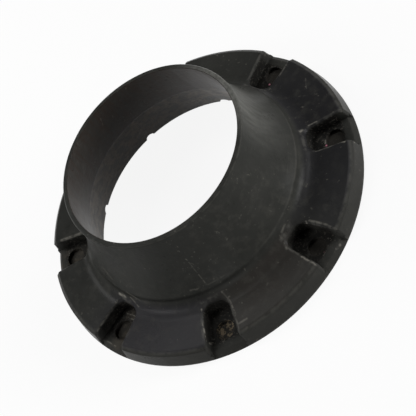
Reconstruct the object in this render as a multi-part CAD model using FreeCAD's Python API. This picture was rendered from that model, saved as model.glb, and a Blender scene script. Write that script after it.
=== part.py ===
import FreeCAD, Part
import math
import os

# Coil spring isolator, one moulding in rubber, sizes in millimetres.
# It stands on its flat underside. The origin is in the middle of the underside,
# Z runs up the axis and X runs through the middle of one pocket.

# Flange
flange_radius = 75.0            # outer radius at the underside
flange_edge_land = 0.7          # upright land above the underside
seat_outer_radius = 73.2        # outer radius of the seat
seat_height = 8.6               # the flat of the seat above the underside
seat_edge_bevel = 2.4           # bevel along the outer edge of the seat

# Seat for the spring wire and the foot of the neck
foot_radius = 51.5              # ridge where the seat meets the neck
foot_height = 15.0
trough_radius = 7.5             # hollow of the seat, half the thickness of the wire

# Neck
neck_height = 45.5
neck_radius = 42.5              # outer radius of the rim
neck_hollow = 2.0               # how far the flare bows in from a straight cone
rim_thickness = 2.2
rim_chamfer = 0.6

# Bore
bore_foot_radius = 51.4         # radius at the underside
bore_line_radius = 45.0         # radius at the ledge round the bore
bore_line_height = 21.0
bore_ledge = 0.4
bore_hollow = 0.5               # how far the upper wall bows in from a straight cone

# Pockets round the flange
pocket_count = 8
pocket_floor = 2.6              # floor above the underside
pocket_angle = 11.7             # width, as an angle at the axis
pocket_inner_radius = 54.6      # inner end
pocket_corner_round = 4.2       # corners of the inner end, in plan
pocket_edge_bevel = 0.9         # along the top of the walls and down the mouth
sill_inner_radius = 69.5        # the floor starts to fall a little
sill_radius = 72.9              # edge of the sill
sill_height = 2.3
sill_foot_height = 0.3          # foot of the sill at the edge of the flange

# Round recess in the floor of each pocket
recess_radius = 4.2
recess_circle_radius = 65.0
recess_depth = 1.7

# Notches under the bore, halfway between the pockets
notch_radius = 2.1
notch_length = 8.0


def at(radius, height):
    return FreeCAD.Vector(radius, 0, height)


def bowed(start, end, bow):
    """Curve from start to end that bows towards the axis."""
    chord = end - start
    across = FreeCAD.Vector(chord.z, 0, -chord.x)
    across.normalize()
    if across.x > 0:
        across = across * -1
    middle = (start + end) * 0.5 + across * bow
    return Part.Arc(start, middle, end).toBSpline().toShape()


def bevelled(before, corner, after, width):
    """The two ends of a flat bevel of the given width across a corner."""
    back = before - corner
    on = after - corner
    back.normalize()
    on.normalize()
    reach = width / 2 / math.sin(back.getAngle(on) / 2)
    return corner + back * reach, corner + on * reach


def turned(edges, angle=360):
    face = Part.Face(Part.Wire(edges))
    return face.revolve(FreeCAD.Vector(0, 0, 0), FreeCAD.Vector(0, 0, 1), angle)


def mirrored(point):
    return FreeCAD.Vector(point.x, -point.y, point.z)


def pocket_outline():
    """Plan of a pocket: radial sides and a rounded inner end."""
    side = math.radians(pocket_angle / 2)
    reach = pocket_inner_radius + pocket_corner_round
    turn = side - math.asin(pocket_corner_round / reach)
    centre = FreeCAD.Vector(reach * math.cos(turn), reach * math.sin(turn), 0)

    def on_corner(angle):
        return centre + FreeCAD.Vector(math.cos(angle), math.sin(angle), 0) * pocket_corner_round

    side_end = side + math.pi / 2
    inner_end = turn + math.pi
    outer = FreeCAD.Vector(beyond * math.cos(side), beyond * math.sin(side), 0)
    first = on_corner(side_end)
    middle = on_corner((side_end + inner_end) / 2)
    last = on_corner(inner_end)
    edges = [
        Part.makeLine(outer, first),
        Part.Arc(first, middle, last).toShape(),
        Part.Arc(last, at(pocket_inner_radius, 0), mirrored(last)).toShape(),
        Part.Arc(mirrored(last), mirrored(middle), mirrored(first)).toShape(),
        Part.makeLine(mirrored(first), mirrored(outer)),
        Part.makeLine(mirrored(outer), outer),
    ]
    return Part.Wire(edges)


def middle_of(edge):
    """Radius, height and angle of the middle of an edge."""
    point = edge.valueAt((edge.FirstParameter + edge.LastParameter) / 2)
    radius = math.hypot(point.x, point.y)
    return radius, point.z, math.degrees(math.atan2(point.y, point.x))


def turned_copies(shape, count, first_angle=0):
    """Copies of a shape spaced evenly round the axis."""
    copies = []
    for index in range(count):
        copy = shape.copy()
        angle = first_angle + index * 360 / count
        copy.rotate(FreeCAD.Vector(0, 0, 0), FreeCAD.Vector(0, 0, 1), angle)
        copies.append(copy)
    return copies


# Section of the flange, seat, neck and bore
widest = max(flange_radius, seat_outer_radius, sill_radius)
beyond = widest + 5
above = foot_height + 5
trough_rise = foot_height - seat_height
trough_angle = math.acos(1 - trough_rise / trough_radius)
trough_end = foot_radius + trough_radius * math.sin(trough_angle)


def on_trough(angle):
    radius = trough_end - trough_radius * math.sin(angle)
    return at(radius, seat_height + trough_radius * (1 - math.cos(angle)))


foot = at(foot_radius, foot_height)
edge_start, edge_end = bevelled(
    at(flange_radius, flange_edge_land),
    at(seat_outer_radius, seat_height),
    at(trough_end, seat_height),
    seat_edge_bevel,
)
trough = Part.Arc(
    at(trough_end, seat_height),
    on_trough(trough_angle / 2),
    foot,
).toShape()
rim_side = at(neck_radius, neck_height - rim_chamfer)
rim_outer = at(neck_radius - rim_chamfer, neck_height)
rim_inner = at(neck_radius - rim_thickness, neck_height)
ledge_inner = at(bore_line_radius, bore_line_height)
ledge_outer = at(bore_line_radius + bore_ledge, bore_line_height)
bore_foot = at(bore_foot_radius, 0)

section = [
    Part.makeLine(bore_foot, at(flange_radius, 0)),
    Part.makeLine(at(flange_radius, 0), at(flange_radius, flange_edge_land)),
    Part.makeLine(at(flange_radius, flange_edge_land), edge_start),
    Part.makeLine(edge_start, edge_end),
    Part.makeLine(edge_end, at(trough_end, seat_height)),
    trough,
    bowed(foot, rim_side, neck_hollow),
    Part.makeLine(rim_side, rim_outer),
    Part.makeLine(rim_outer, rim_inner),
    bowed(rim_inner, ledge_inner, bore_hollow),
    Part.makeLine(ledge_inner, ledge_outer),
    Part.makeLine(ledge_outer, bore_foot),
]

# One eighth of the ring, with its pocket in the middle
sector_angle = 360 / pocket_count
sector = turned(section, sector_angle)
sector.rotate(FreeCAD.Vector(0, 0, 0), FreeCAD.Vector(0, 0, 1), -sector_angle / 2)


# Pocket, open to the outer side of the flange
pocket_plan = Part.Face(pocket_outline())
pocket = pocket_plan.extrude(at(0, above))
pocket.translate(at(0, pocket_floor))
sector = sector.cut(pocket)


def at_pocket_edge(edge):
    """Edges where the walls of the pocket meet the seat and the outer side."""
    radius, height, angle = middle_of(edge)
    if abs(angle) > pocket_angle / 2 + 0.5:
        return False
    on_seat = height > seat_height - seat_edge_bevel and radius < widest - 1
    at_mouth = radius > min(flange_radius, seat_outer_radius) and height > pocket_floor + 0.5
    return radius > foot_radius + 0.5 and (on_seat or at_mouth)


sector = sector.makeChamfer(pocket_edge_bevel, [e for e in sector.Edges if at_pocket_edge(e)])

# Sill, where the floor falls away to the edge of the flange
sill_line = Part.makePolygon([
    at(sill_inner_radius, pocket_floor),
    at(sill_radius, sill_height),
    at(max(flange_radius, sill_radius), sill_foot_height),
    at(beyond, sill_foot_height),
    at(beyond, pocket_floor),
    at(sill_inner_radius, pocket_floor),
])
sill = turned(sill_line.Edges, sector_angle)
sill.rotate(FreeCAD.Vector(0, 0, 0), FreeCAD.Vector(0, 0, 1), -sector_angle / 2)
sector = sector.cut(sill.common(pocket_plan.extrude(at(0, above))))

# Round recess in the pocket floor
recess = Part.makeCylinder(
    recess_radius,
    recess_depth + pocket_floor,
    at(recess_circle_radius, pocket_floor - recess_depth),
)
sector = sector.cut(recess)

# The whole ring
sectors = turned_copies(sector, pocket_count)
body = sectors[0].multiFuse(sectors[1:])
body = body.removeSplitter()

# Half round notches under the edge of the bore
notch = Part.makeCylinder(
    notch_radius,
    notch_length,
    at(bore_foot_radius - notch_radius, 0),
    FreeCAD.Vector(1, 0, 0),
)
body = body.cut(turned_copies(notch, pocket_count, sector_angle / 2))

os.makedirs("parts", exist_ok=True)
body.exportStep("parts/isolator_body.step")
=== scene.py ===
import math
import bpy
import bmesh
from mathutils import Matrix, Vector

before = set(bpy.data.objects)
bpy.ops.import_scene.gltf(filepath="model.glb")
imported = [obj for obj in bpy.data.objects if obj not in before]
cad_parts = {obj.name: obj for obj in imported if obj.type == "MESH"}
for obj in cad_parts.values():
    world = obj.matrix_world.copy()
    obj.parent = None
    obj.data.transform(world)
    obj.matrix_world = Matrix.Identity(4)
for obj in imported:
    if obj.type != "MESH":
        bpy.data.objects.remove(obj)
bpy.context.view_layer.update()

# Sizes shared with the rubber's finish, in metres
FLANGE_RADIUS = 0.075
SEAT_EDGE_RADIUS = 0.0726
SEAT_HEIGHT = 0.0086
FOOT_RADIUS = 0.0515
FOOT_HEIGHT = 0.015
RIM_RADIUS = 0.0425
RIM_HEIGHT = 0.0455
RIM_THICKNESS = 0.0022
BORE_LINE_RADIUS = 0.045
BORE_LINE_HEIGHT = 0.021
BORE_FOOT_RADIUS = 0.0514
POCKET_STEP = math.radians(45)
POCKET_HALF_ANGLE = math.radians(5.85)
POCKET_INNER_RADIUS = 0.0546
POCKET_FLOOR = 0.0026
SILL_RADIUS = 0.0695
RECESS_CENTRE_RADIUS = 0.065
RECESS_RADIUS = 0.0042

# Colours of the rubber, of the dust, dirt and wear on it, and of the painted shade, sheen and highlights on it
RUBBER_DARK = (0.0245, 0.0250, 0.0226, 1)
RUBBER_LIGHT = (0.0305, 0.0308, 0.0280, 1)
SEAT_LILAC = (0.0285, 0.0276, 0.0306, 1)
SEAT_SHADE_BLUE = (0.0178, 0.0176, 0.0192, 1)
SEAT_WARM = (0.0310, 0.0272, 0.0245, 1)
SIDE_GREY = (0.0360, 0.0350, 0.0320, 1)
BORE_BROWN_SHADE = (0.0260, 0.0170, 0.0125, 1)
BORE_PALE_BROWN = (0.1150, 0.0930, 0.0710, 1)
POCKET_SHADE = (0.0120, 0.0118, 0.0108, 1)
SHEEN_GREY = (0.1300, 0.1300, 0.1200, 1)
SMUDGE_GREY = (0.0560, 0.0545, 0.0480, 1)
GRAIN_GREY = (0.1250, 0.1180, 0.1020, 1)
DIRT_GREY = (0.105, 0.098, 0.084, 1)
RECESS_BROWN = (0.0380, 0.0350, 0.0300, 1)
BRASS = (0.190, 0.150, 0.100, 1)
DIRT_BROWN = (0.062, 0.052, 0.040, 1)
CREASE_SHADE = (0.0100, 0.0100, 0.0095, 1)
WEAR_AND_HIGHLIGHT_GREY = (0.105, 0.102, 0.092, 1)
SCRATCH_GREY = (0.200, 0.190, 0.165, 1)
SPECK_PINK = (0.50, 0.20, 0.26, 1)


# Node helpers
def put(tree, kind, inputs=None, **settings):
    made = tree.nodes.new(kind)
    for name, value in settings.items():
        setattr(made, name, value)
    for name, value in (inputs or {}).items():
        feed(tree, value, made.inputs[name])
    return made


def feed(tree, value, socket):
    if isinstance(value, bpy.types.NodeSocket):
        tree.links.new(value, socket)
    else:
        socket.default_value = value


def calc(tree, operation, first, second=0.0, third=0.0, clamp=False):
    inputs = {0: first, 1: second, 2: third}
    return put(tree, "ShaderNodeMath", inputs, operation=operation, use_clamp=clamp).outputs[0]


def smooth(tree, value, low, high, out_low=0.0, out_high=1.0):
    inputs = {"Value": value, "From Min": low, "From Max": high, "To Min": out_low, "To Max": out_high}
    made = put(tree, "ShaderNodeMapRange", inputs, interpolation_type="SMOOTHSTEP", clamp=False)
    return made.outputs["Result"]


def noise(tree, vector, scale, detail=3.0, roughness=0.55):
    inputs = {"Vector": vector, "Scale": scale, "Detail": detail, "Roughness": roughness}
    return put(tree, "ShaderNodeTexNoise", inputs).outputs["Fac"]


def blend_colour(tree, share, first, second):
    made = put(tree, "ShaderNodeMix", data_type="RGBA")
    feed(tree, share, made.inputs["Factor"])
    feed(tree, first, made.inputs[6])
    feed(tree, second, made.inputs[7])
    return made.outputs[2]


def new_group(name, inputs, outputs):
    """A shader node group with its sockets, its input node and its output node."""
    tree = bpy.data.node_groups.new(name, "ShaderNodeTree")
    for socket, kind, value in inputs:
        made = tree.interface.new_socket(socket, in_out="INPUT", socket_type=kind)
        if value is not None:
            made.default_value = value
    for socket, kind in outputs:
        tree.interface.new_socket(socket, in_out="OUTPUT", socket_type=kind)
    return tree, tree.nodes.new("NodeGroupInput").outputs, tree.nodes.new("NodeGroupOutput").inputs


def use(tree, group, **inputs):
    made = put(tree, "ShaderNodeGroup", node_tree=group)
    for name, value in inputs.items():
        feed(tree, value, made.inputs[name.replace("_", " ")])
    return made.outputs


# Polar position: radius and height in metres, angle from the middle of the nearest pocket
def polar_group():
    tree, given, out = new_group(
        "polar_position",
        [("Position", "NodeSocketVector", None)],
        [("Radius", "NodeSocketFloat"), ("Height", "NodeSocketFloat"), ("From pocket", "NodeSocketFloat")],
    )
    part = put(tree, "ShaderNodeSeparateXYZ", {0: given["Position"]}).outputs
    flat = put(tree, "ShaderNodeCombineXYZ", {"X": part["X"], "Y": part["Y"]}).outputs[0]
    radius = put(tree, "ShaderNodeVectorMath", {0: flat}, operation="LENGTH").outputs["Value"]
    angle = calc(tree, "ARCTAN2", part["Y"], part["X"])
    feed(tree, radius, out["Radius"])
    feed(tree, part["Z"], out["Height"])
    feed(tree, calc(tree, "PINGPONG", angle, POCKET_STEP / 2), out["From pocket"])
    return tree


# One side of the part: 1 towards a direction across the axis, 0 away from it
def side_group():
    tree, given, out = new_group(
        "one_side",
        [("Position", "NodeSocketVector", None), ("Direction", "NodeSocketVector", (1, 0, 0)),
         ("Narrowness", "NodeSocketFloat", 0.7)],
        [("Mask", "NodeSocketFloat")],
    )
    level = put(tree, "ShaderNodeVectorMath", {0: given["Position"], 1: (1, 1, 0)}, operation="MULTIPLY")
    unit = put(tree, "ShaderNodeVectorMath", {0: level.outputs[0]}, operation="NORMALIZE")
    along = put(tree, "ShaderNodeVectorMath", {0: unit.outputs[0], 1: given["Direction"]},
                operation="DOT_PRODUCT").outputs["Value"]
    feed(tree, smooth(tree, along, given["Narrowness"], 1.0), out["Mask"])
    return tree


# Wear or dirt along a ring round the axis, broken up by a pattern
def ring_group():
    tree, given, out = new_group(
        "ring_band",
        [("Radius", "NodeSocketFloat", 0.0), ("Height", "NodeSocketFloat", 0.0),
         ("Ring radius", "NodeSocketFloat", 0.07), ("Ring height", "NodeSocketFloat", 0.0),
         ("Width", "NodeSocketFloat", 0.001), ("Pattern", "NodeSocketFloat", 1.0),
         ("Bare", "NodeSocketFloat", 0.0)],
        [("Mask", "NodeSocketFloat")],
    )
    across = calc(tree, "SUBTRACT", given["Radius"], given["Ring radius"])
    upward = calc(tree, "SUBTRACT", given["Height"], given["Ring height"])
    flat = put(tree, "ShaderNodeCombineXYZ", {"X": across, "Y": upward}).outputs[0]
    away = put(tree, "ShaderNodeVectorMath", {0: flat}, operation="LENGTH").outputs["Value"]
    near = smooth(tree, away, given["Width"], 0.0)
    high = calc(tree, "ADD", given["Bare"], 0.2)
    patch = smooth(tree, given["Pattern"], given["Bare"], high)
    feed(tree, calc(tree, "MULTIPLY", near, patch), out["Mask"])
    return tree


# A worn line or scratch from one point to another
def scratch_group():
    tree, given, out = new_group(
        "scratch",
        [("Position", "NodeSocketVector", None), ("Start", "NodeSocketVector", (0, 0, 0)),
         ("End", "NodeSocketVector", (0, 0, 1)), ("Width", "NodeSocketFloat", 0.001),
         ("Strength", "NodeSocketFloat", 1.0)],
        [("Mask", "NodeSocketFloat")],
    )
    run = put(tree, "ShaderNodeVectorMath", {0: given["End"], 1: given["Start"]},
              operation="SUBTRACT").outputs[0]
    whole = put(tree, "ShaderNodeVectorMath", {0: run, 1: run}, operation="DOT_PRODUCT").outputs["Value"]
    step = put(tree, "ShaderNodeVectorMath", {0: run, 3: calc(tree, "DIVIDE", 1.0, whole)},
               operation="SCALE").outputs[0]
    here = put(tree, "ShaderNodeVectorMath", {0: given["Position"], 1: given["Start"]},
               operation="SUBTRACT").outputs[0]
    reach = put(tree, "ShaderNodeVectorMath", {0: here, 1: step}, operation="DOT_PRODUCT").outputs["Value"]
    share = calc(tree, "MINIMUM", calc(tree, "MAXIMUM", reach, 0.0), 1.0)
    foot = put(tree, "ShaderNodeVectorMath", {0: run, 3: share}, operation="SCALE").outputs[0]
    away = put(tree, "ShaderNodeVectorMath", {0: here, 1: foot}, operation="DISTANCE").outputs["Value"]
    feed(tree, smooth(tree, away, given["Width"], 0.0, 0.0, given["Strength"]), out["Mask"])
    return tree


polar = polar_group()
one_side = side_group()
ring_band = ring_group()
scratch = scratch_group()

# Worn lines, scuffs and scratches: start, end and width in millimetres, strength
SCRATCHES = [
    # Pocket at 90 degrees
    ((-7.4, 59.6, 8.6), (-8.3, 66.2, 8.6), 0.8, 0.55),
    ((-8.3, 66.2, 8.6), (-8.3, 72.9, 7.9), 0.8, 0.45),
    ((-6.4, 58.2, 8.6), (-6.0, 58.6, 7.9), 0.7, 1.0),
    ((-2.8, 56.7, 2.6), (-2.6, 57.4, 2.6), 0.6, 0.9),
    ((-1.2, 52.5, 12.2), (3.4, 52.9, 11.4), 0.9, 0.30),
    ((3.4, 52.9, 11.4), (6.8, 56.8, 8.8), 0.9, 0.30),
    ((7.4, 64.8, 8.6), (7.9, 68.7, 8.6), 0.8, 0.75),
    ((7.9, 69.7, 8.6), (8.2, 72.9, 7.8), 0.8, 0.60),
    ((-2.4, 73.1, 2.1), (-4.6, 73.5, 1.6), 0.8, 0.55),
    # Pocket at 45 degrees
    ((43.6, 35.4, 9.1), (48.1, 38.7, 8.6), 0.6, 0.80),
    ((48.1, 38.7, 8.6), (54.1, 44.0, 7.0), 0.6, 0.80),
    ((54.0, 44.0, 4.5), (53.3, 43.8, 2.6), 0.8, 0.90),
    ((33.9, 41.1, 11.1), (35.4, 45.1, 8.8), 0.6, 0.36),
    ((35.4, 45.1, 8.8), (38.6, 49.8, 8.6), 0.6, 0.45),
    ((38.6, 49.8, 8.6), (44.0, 55.6, 8.6), 0.6, 0.35),
    ((42.7, 54.2, 8.6), (39.1, 56.6, 8.6), 0.8, 0.32),
    ((45.4, 57.5, 8.4), (42.3, 58.7, 8.6), 0.9, 0.25),
    ((39.6, 31.5, 16.6), (37.1, 34.9, 16.0), 0.8, 0.24),
    # Neck above it
    ((31.1, 32.5, 30.0), (33.0, 34.6, 22.2), 0.45, 0.30),
    ((33.0, 34.6, 22.2), (34.7, 36.9, 16.5), 0.45, 0.34),
    ((35.0, 36.9, 16.2), (28.3, 42.3, 16.2), 0.6, 0.14),
    # Pocket at 0 degrees
    ((54.5, -5.9, 8.9), (63.0, -6.9, 8.6), 0.65, 0.55),
    ((63.0, -6.9, 8.6), (71.1, -7.6, 8.3), 0.65, 0.55),
    ((52.9, -4.9, 11.3), (52.9, -1.0, 11.6), 1.1, 0.95),
    ((51.3, 1.4, 15.0), (52.2, 8.4, 12.4), 0.6, 0.55),
    ((52.4, 2.3, 12.3), (54.1, 6.7, 10.1), 0.6, 0.45),
    ((58.1, -2.9, 2.6), (57.4, 2.0, 2.6), 0.55, 0.60),
    ((59.4, -1.3, 2.6), (59.2, 2.6, 2.6), 0.55, 0.50),
    ((72.4, -5.6, 2.5), (72.6, 0.5, 2.4), 0.5, 0.50),
    ((71.5, 11.8, 8.6), (68.8, 23.6, 8.6), 0.5, 0.45),
    # Pocket at 135 degrees
    ((-45.5, 35.4, 8.7), (-48.3, 37.9, 8.6), 0.6, 0.65),
    ((-41.2, 34.7, 10.5), (-42.3, 34.5, 9.3), 1.0, 0.90),
    ((-34.9, 44.0, 8.6), (-39.0, 49.5, 8.6), 0.5, 0.45),
    ((-39.0, 49.5, 8.6), (-43.3, 54.1, 8.6), 0.5, 0.60),
    ((-43.3, 54.1, 8.6), (-45.6, 58.0, 5.9), 0.6, 0.75),
    ((-43.5, 54.5, 8.6), (-43.7, 55.4, 8.6), 0.8, 1.0),
    ((-42.5, 59.2, 8.6), (-41.4, 60.4, 8.6), 0.9, 0.75),
    ((-43.7, 42.4, 2.6), (-42.4, 43.2, 2.6), 0.6, 0.80),
    # Pockets at 180 and 315 degrees
    ((-53.0, 7.9, 11.4), (-56.2, 7.4, 8.9), 0.5, 0.50),
    ((-63.3, 7.9, 8.6), (-69.2, 8.2, 8.6), 0.6, 0.40),
    ((42.9, -53.6, 8.6), (36.2, -45.4, 8.6), 1.1, 0.60),
    ((45.9, -50.7, 2.6), (46.7, -50.1, 2.6), 0.7, 0.80),
    ((45.7, -46.0, 2.6), (43.3, -45.2, 2.6), 0.7, 0.80),
    # Seat, neck and bore
    ((-65.4, 21.3, 8.6), (-61.1, 24.5, 8.6), 0.5, 0.20),
    ((-56.6, 22.9, 8.6), (-58.2, 26.9, 8.6), 0.5, 0.14),
    ((46.0, -16.4, 20.1), (49.8, -18.8, 14.0), 0.6, 0.40),
    ((47.4, -12.3, 19.9), (49.6, -6.8, 17.6), 0.6, 0.30),
    ((-8.0, -40.2, 40.2), (-6.6, -41.3, 35.2), 0.45, 0.30),
]
# Small pinkish specks, in millimetres
SPECKS = [(-3.1, 66.8, 2.6), (0.8, 68.7, 2.6), (-41.7, 44.1, 2.6), (-67.1, -0.2, 2.6), (-60.4, 0.6, 2.6)]


def largest(tree, masks):
    total = masks[0]
    for mask in masks[1:]:
        total = calc(tree, "MAXIMUM", total, mask)
    return total


def product(tree, masks):
    total = masks[0]
    for mask in masks[1:]:
        total = calc(tree, "MULTIPLY", total, mask)
    return total


def metres(point):
    return tuple(value / 1000 for value in point)


def towards(degrees):
    angle = math.radians(degrees)
    return (math.cos(angle), math.sin(angle), 0)


def rubber():
    material = bpy.data.materials.new("moulded_rubber")
    material.use_nodes = True
    tree = material.node_tree
    tree.nodes.clear()
    surface = put(tree, "ShaderNodeOutputMaterial").inputs["Surface"]
    shader = put(tree, "ShaderNodeBsdfPrincipled")
    tree.links.new(shader.outputs[0], surface)
    position = put(tree, "ShaderNodeTexCoord").outputs["Object"]
    at = use(tree, polar, Position=position)
    radius, height, from_pocket = at["Radius"], at["Height"], at["From pocket"]

    # Patterns from fine to broad, and one drawn out along the axis
    grain = noise(tree, position, 1300.0, 2.0, 0.5)
    fine = noise(tree, position, 620.0, 3.0, 0.6)
    medium = noise(tree, position, 260.0, 4.0, 0.6)
    patches = noise(tree, position, 70.0, 4.0, 0.6)
    broad = noise(tree, position, 26.0, 2.0, 0.5)
    drawn = put(tree, "ShaderNodeVectorMath", {0: position, 1: (1, 1, 0.06)}, operation="MULTIPLY").outputs[0]
    streaks = noise(tree, drawn, 520.0, 3.0, 0.6)

    def side(degrees, narrowness):
        return use(tree, one_side, Position=position, Direction=towards(degrees), Narrowness=narrowness)["Mask"]

    # Zones
    bore_lean = (BORE_LINE_RADIUS - RIM_RADIUS + RIM_THICKNESS) / (RIM_HEIGHT - BORE_LINE_HEIGHT)
    bore_at_floor = BORE_LINE_RADIUS + 0.0002 + BORE_LINE_HEIGHT * bore_lean
    bore_edge = calc(tree, "MULTIPLY_ADD", height, -bore_lean, bore_at_floor)
    in_upper_bore = calc(tree, "MULTIPLY", calc(tree, "LESS_THAN", radius, bore_edge),
                         calc(tree, "GREATER_THAN", height, BORE_LINE_HEIGHT))
    lower_lean = (BORE_FOOT_RADIUS - BORE_LINE_RADIUS) / BORE_LINE_HEIGHT
    lower_edge = calc(tree, "MULTIPLY_ADD", height, -lower_lean, BORE_FOOT_RADIUS + 0.0012)
    in_lower_bore = calc(tree, "MULTIPLY", calc(tree, "LESS_THAN", radius, lower_edge),
                         calc(tree, "LESS_THAN", height, BORE_LINE_HEIGHT))
    on_seat = calc(tree, "MULTIPLY", smooth(tree, radius, FOOT_RADIUS + 0.0004, FOOT_RADIUS + 0.0025),
                   smooth(tree, height, SEAT_HEIGHT - 0.0010, SEAT_HEIGHT - 0.0002))
    off_wall = calc(tree, "MULTIPLY", radius, calc(tree, "SUBTRACT", from_pocket, POCKET_HALF_ANGLE))
    in_pocket = product(tree, [
        smooth(tree, off_wall, 0.0006, 0.0001),
        smooth(tree, radius, POCKET_INNER_RADIUS - 0.001, POCKET_INNER_RADIUS),
        smooth(tree, height, SEAT_HEIGHT, SEAT_HEIGHT - 0.001),
    ])
    inside_sill = smooth(tree, radius, SILL_RADIUS + 0.0018, SILL_RADIUS - 0.0006)
    pocket_deep = calc(tree, "MULTIPLY", in_pocket, inside_sill)
    on_outer_side = calc(tree, "MULTIPLY", smooth(tree, radius, SEAT_EDGE_RADIUS - 0.0012, SEAT_EDGE_RADIUS),
                         smooth(tree, height, SEAT_HEIGHT - 0.0002, SEAT_HEIGHT - 0.0014))

    # Light worn lines along the edges; on one side a painted highlight on the ridge and painted shade in the
    # crease under it; the pocket edges partly worn, partly a painted highlight
    def ring(ring_radius, ring_height, width, bare, pattern=medium):
        return use(tree, ring_band, Radius=radius, Height=height, Ring_radius=ring_radius,
                   Ring_height=ring_height, Width=width, Pattern=pattern, Bare=bare)["Mask"]

    seat_edge = ring(SEAT_EDGE_RADIUS - 0.0003, SEAT_HEIGHT - 0.0008, 0.0012, 0.34)
    rim_edges = largest(tree, [
        ring(RIM_RADIUS - 0.0003, RIM_HEIGHT - 0.0003, 0.0006, 0.30),
        ring(RIM_RADIUS - RIM_THICKNESS, RIM_HEIGHT, 0.0005, 0.33),
        ring(BORE_LINE_RADIUS, BORE_LINE_HEIGHT, 0.0006, 0.40),
        ring(FLANGE_RADIUS, 0.0007, 0.0007, 0.45),
    ])
    ridge = ring(FOOT_RADIUS, FOOT_HEIGHT, 0.0009, 0.30)
    # Painted highlight: a light line on the ridge on one side
    ridge_highlight = calc(tree, "MULTIPLY", ridge, side(118, 0.55))
    under_ridge = ring(FOOT_RADIUS + 0.0004, FOOT_HEIGHT - 0.0012, 0.0014, 0.2)
    # Painted shade in the crease under the ridge, on one side
    crease_shade = calc(tree, "MULTIPLY", under_ridge, side(22, 0.45))
    moulding_lines = calc(tree, "MULTIPLY", largest(tree, [
        ring(0.0481, 0.0225, 0.0004, 0.42),
        ring(0.0497, 0.0185, 0.0004, 0.40),
    ]), side(124, 0.75))
    by_wall = smooth(tree, calc(tree, "ABSOLUTE", calc(tree, "SUBTRACT", off_wall, 0.0006)), 0.0009, 0.0002)
    by_end = smooth(tree, calc(tree, "ABSOLUTE", calc(tree, "SUBTRACT", radius, POCKET_INNER_RADIUS - 0.0008)),
                    0.0009, 0.0002)
    inside_sides = smooth(tree, off_wall, 0.0006, -0.001)
    wall_top = product(tree, [by_wall, smooth(tree, radius, 0.0555, 0.058),
                              smooth(tree, height, SEAT_HEIGHT - 0.0011, SEAT_HEIGHT - 0.0003)])
    end_top = calc(tree, "MULTIPLY", by_end, inside_sides)
    # The pocket edges: partly wear, partly a painted highlight on their rounding
    pocket_edges = calc(tree, "MULTIPLY", largest(tree, [wall_top, end_top]), smooth(tree, medium, 0.40, 0.62))

    # Marks where the photograph shows them
    scratches = 0.0
    for start, end, width, strength in SCRATCHES:
        mask = use(tree, scratch, Position=position, Start=metres(start), End=metres(end), Width=width / 1000,
                   Strength=strength)["Mask"]
        scratches = calc(tree, "MAXIMUM", scratches, mask)
    scratches = calc(tree, "MULTIPLY", scratches, smooth(tree, fine, 0.36, 0.56))
    specks = 0.0
    for speck in SPECKS:
        mask = use(tree, scratch, Position=position, Start=metres(speck),
                   End=metres((speck[0], speck[1], speck[2] + 0.2)), Width=0.0007)["Mask"]
        specks = calc(tree, "MAXIMUM", specks, mask)

    def tinted(base, mask, strength, tint):
        return blend_colour(tree, calc(tree, "MULTIPLY", mask, strength), base, tint)

    # Colour of the rubber, and its tints
    mottle = smooth(tree, patches, 0.3, 0.7)
    colour = blend_colour(tree, mottle, RUBBER_DARK, RUBBER_LIGHT)
    lilac = calc(tree, "MULTIPLY", on_seat, side(20, 0.80))
    colour = tinted(colour, lilac, 0.8, SEAT_LILAC)
    # Painted shade: the seat darker on the side at 138 degrees
    seat_shade = calc(tree, "MULTIPLY", on_seat, side(138, 0.50))
    colour = tinted(colour, seat_shade, 0.9, SEAT_SHADE_BLUE)
    warm = product(tree, [on_seat, side(68, 0.86), smooth(tree, broad, 0.3, 0.6)])
    colour = tinted(colour, warm, 0.7, SEAT_WARM)
    colour = tinted(colour, on_outer_side, 0.5, SIDE_GREY)
    # A brown tone with painted shade inside the upper bore
    upper_bore_brown_shade = calc(tree, "MULTIPLY", in_upper_bore, smooth(tree, streaks, 0.35, 0.65, 0.35, 0.8))
    colour = blend_colour(tree, upper_bore_brown_shade, colour, BORE_BROWN_SHADE)
    # Pale brown patches in the lower bore
    lower_tint = calc(tree, "MULTIPLY", in_lower_bore, smooth(tree, medium, 0.38, 0.64, 0.10, 1.0))
    colour = blend_colour(tree, lower_tint, colour, BORE_PALE_BROWN)
    # Painted shade: the pockets darkened inside the sill
    colour = blend_colour(tree, pocket_deep, colour, POCKET_SHADE)

    # A painted sheen on one side of the neck, then dust: smudges and fine grains all over
    off_bore = calc(tree, "SUBTRACT", 1.0, calc(tree, "ADD", in_upper_bore, in_lower_bore))
    # Painted sheen: a pale patch on the neck's side facing 158 degrees
    painted_sheen = product(tree, [off_bore, side(158, 0.72), smooth(tree, height, FOOT_HEIGHT - 0.002, RIM_HEIGHT),
                           smooth(tree, streaks, 0.30, 0.70, 0.45, 1.0)])
    colour = tinted(colour, painted_sheen, 0.90, SHEEN_GREY)
    smudges = calc(tree, "MULTIPLY", smooth(tree, medium, 0.46, 0.72),
                   smooth(tree, broad, 0.38, 0.62, 0.25, 1.0))
    colour = tinted(colour, smudges, 0.40, SMUDGE_GREY)
    grains = calc(tree, "MULTIPLY", smooth(tree, fine, 0.63, 0.72), smooth(tree, patches, 0.42, 0.62))
    colour = tinted(colour, grains, 0.55, GRAIN_GREY)

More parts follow.
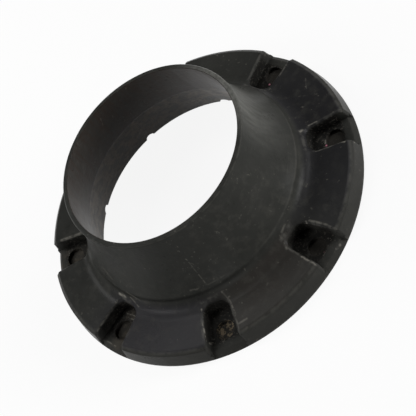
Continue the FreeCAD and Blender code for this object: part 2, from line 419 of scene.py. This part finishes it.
    # Dirt specks in the pockets and in the recesses
    speckle = smooth(tree, grain, 0.57, 0.66)
    pocket_specks = product(tree, [pocket_deep, speckle, smooth(tree, patches, 0.35, 0.6, 0.25, 1.0)])
    colour = tinted(colour, pocket_specks, 0.55, DIRT_GREY)
    under_floor = smooth(tree, height, POCKET_FLOOR - 0.0001, POCKET_FLOOR - 0.0004)
    in_recess = calc(tree, "MULTIPLY", in_pocket, under_floor)
    off_sill = calc(tree, "LESS_THAN", radius, RECESS_CENTRE_RADIUS + RECESS_RADIUS)
    in_recess = calc(tree, "MULTIPLY", in_recess, off_sill)
    colour = tinted(colour, in_recess, 0.6, RECESS_BROWN)
    brass = product(tree, [in_recess, side(45, 0.97), smooth(tree, fine, 0.48, 0.62)])
    colour = tinted(colour, brass, 0.75, BRASS)
    two_pockets = largest(tree, [side(1.5, 0.996), side(-43, 0.99)])
    brown = product(tree, [in_pocket, two_pockets, smooth(tree, medium, 0.38, 0.6)])
    colour = tinted(colour, brown, 0.45, DIRT_BROWN)

    # Painted shade in the crease at the neck's foot, then worn edges with painted highlights, and marks
    colour = tinted(colour, crease_shade, 0.6, CREASE_SHADE)
    # Worn edges mixed with painted highlights on the ridge and the pocket edges
    wear_and_highlight = largest(tree, [
        calc(tree, "MULTIPLY", seat_edge, 0.24),
        calc(tree, "MULTIPLY", rim_edges, 0.20),
        calc(tree, "MULTIPLY", ridge_highlight, 0.22),
        calc(tree, "MULTIPLY", moulding_lines, 0.18),
        calc(tree, "MULTIPLY", pocket_edges, 0.40),
    ])
    colour = blend_colour(tree, wear_and_highlight, colour, WEAR_AND_HIGHLIGHT_GREY)
    colour = blend_colour(tree, scratches, colour, SCRATCH_GREY)
    colour = blend_colour(tree, specks, colour, SPECK_PINK)
    tree.links.new(colour, shader.inputs["Base Color"])

    dull = smooth(tree, patches, 0.3, 0.7, 0.25, 0.32)
    dull = calc(tree, "ADD", dull, calc(tree, "MULTIPLY", fine, 0.05))
    dull = calc(tree, "ADD", dull, calc(tree, "MULTIPLY", in_pocket, 0.25))
    dull = calc(tree, "ADD", dull, calc(tree, "MULTIPLY", largest(tree, [wear_and_highlight, scratches]), 0.25))
    tree.links.new(dull, shader.inputs["Roughness"])
    shader.inputs["Specular IOR Level"].default_value = 0.045

    rounded = put(tree, "ShaderNodeBevel", {"Radius": 0.0009}, samples=4).outputs[0]
    relief = calc(tree, "ADD", calc(tree, "MULTIPLY", medium, 0.35), calc(tree, "MULTIPLY", fine, 0.45))
    relief = calc(tree, "ADD", relief, product(tree, [in_pocket, grain, 0.6]))
    bump = put(tree, "ShaderNodeBump",
               {"Height": relief, "Normal": rounded, "Strength": 0.55, "Distance": 0.0003})
    tree.links.new(bump.outputs[0], shader.inputs["Normal"])
    return material


body = bpy.data.objects["isolator_body"]
for part_slot in body.material_slots:
    part_slot.material = rubber()


# Floor: white where the camera, reflections or glass see it, and still with a faint shadow
FLOOR_GLOW_SHARE = 0.90
WHITE = (1, 1, 1, 1)


def floor_material():
    material = bpy.data.materials.new("studio_floor")
    material.use_nodes = True
    tree = material.node_tree
    tree.nodes.clear()
    surface = put(tree, "ShaderNodeOutputMaterial").inputs["Surface"]
    paint = put(tree, "ShaderNodeBsdfDiffuse", {"Color": (0.86, 0.86, 0.86, 1)})
    glow = put(tree, "ShaderNodeEmission", {"Color": WHITE, "Strength": 1.0})
    path = put(tree, "ShaderNodeLightPath").outputs
    seen = calc(tree, "ADD", path["Is Camera Ray"], path["Is Glossy Ray"])
    seen = calc(tree, "ADD", seen, path["Is Transmission Ray"], clamp=True)
    share = calc(tree, "MULTIPLY", seen, FLOOR_GLOW_SHARE)
    mixed = put(tree, "ShaderNodeMixShader", {0: share, 1: paint.outputs[0], 2: glow.outputs[0]})
    tree.links.new(mixed.outputs[0], surface)
    return material


FLOOR_HALF_WIDTH = 3.0
floor_mesh = bpy.data.meshes.new("floor")
floor_shape = bmesh.new()
bmesh.ops.create_grid(floor_shape, x_segments=1, y_segments=1, size=FLOOR_HALF_WIDTH)
floor_shape.to_mesh(floor_mesh)
floor_shape.free()
floor_mesh.materials.append(floor_material())
floor = bpy.data.objects.new("floor", floor_mesh)
bpy.context.scene.collection.objects.link(floor)

# World: white where it is seen, and a weak light on the part
SKY_LIGHT = 0.03
world = bpy.data.worlds.new("studio")
bpy.context.scene.world = world
world.use_nodes = True
world_tree = world.node_tree
world_tree.nodes.clear()
sky_path = put(world_tree, "ShaderNodeLightPath").outputs
sky_seen = calc(world_tree, "ADD", sky_path["Is Camera Ray"], sky_path["Is Transmission Ray"], clamp=True)
sky_strength = calc(world_tree, "MULTIPLY_ADD", sky_seen, 1 - SKY_LIGHT, SKY_LIGHT)
sky = put(world_tree, "ShaderNodeBackground", {"Color": WHITE, "Strength": sky_strength})
world_out = put(world_tree, "ShaderNodeOutputWorld")
world_tree.links.new(sky.outputs[0], world_out.inputs["Surface"])

# Camera at the photograph's viewing angle, fitted to the outlines of the rim, the flange and the pockets
PICTURE_PIXELS = 416
FOCAL_PIXELS = 1200
PIXEL_SHIFT = 0.5
SENSOR_WIDTH = 36.0
CAMERA_PLACE = (0.093483, 0.329704, 0.393593)
RIGHT = Vector((-0.49789, 0.72185, -0.48066))
UP = Vector((-0.84896, -0.29249, 0.44013))
BACK = Vector((0.17712, 0.62720, 0.75845))
camera_data = bpy.data.cameras.new("camera")
camera_data.sensor_width = SENSOR_WIDTH
camera_data.lens = FOCAL_PIXELS / PICTURE_PIXELS * SENSOR_WIDTH
camera_data.shift_x = -PIXEL_SHIFT / PICTURE_PIXELS
camera_data.shift_y = PIXEL_SHIFT / PICTURE_PIXELS
camera_data.clip_start = 0.01
camera = bpy.data.objects.new("camera", camera_data)
bpy.context.scene.collection.objects.link(camera)
turn = Matrix((RIGHT, UP, BACK)).transposed()
camera.matrix_world = Matrix.Translation(CAMERA_PLACE) @ turn.to_4x4()
bpy.context.scene.camera = camera


# Soft lamps round the part: elevation and azimuth in degrees, power in watts
LAMP_SIZE = 0.45
LAMP_DISTANCE = 1.2


def lamp(name, elevation, azimuth, power):
    data = bpy.data.lights.new(name, "AREA")
    data.energy = power
    data.shape = "DISK"
    data.size = LAMP_SIZE
    made = bpy.data.objects.new(name, data)
    up = math.radians(elevation)
    direction = Vector((math.cos(up), 0, math.sin(up)))
    direction.rotate(Matrix.Rotation(math.radians(azimuth), 3, "Z"))
    made.location = direction * LAMP_DISTANCE
    made.rotation_euler = direction.to_track_quat("Z", "Y").to_euler()
    bpy.context.scene.collection.objects.link(made)


lamp("softbox_behind", 12, 135, 9.3)
lamp("softbox_right", 38, 158, 4.2)
lamp("softbox_left", 38, 338, 4.6)
lamp("softbox_far_left", 38, 292, 3.8)
lamp("softbox_top", 65, 270, 3.2)
lamp("softbox_front", 12, 45, 2.4)

bpy.context.scene.view_settings.view_transform = "Standard"
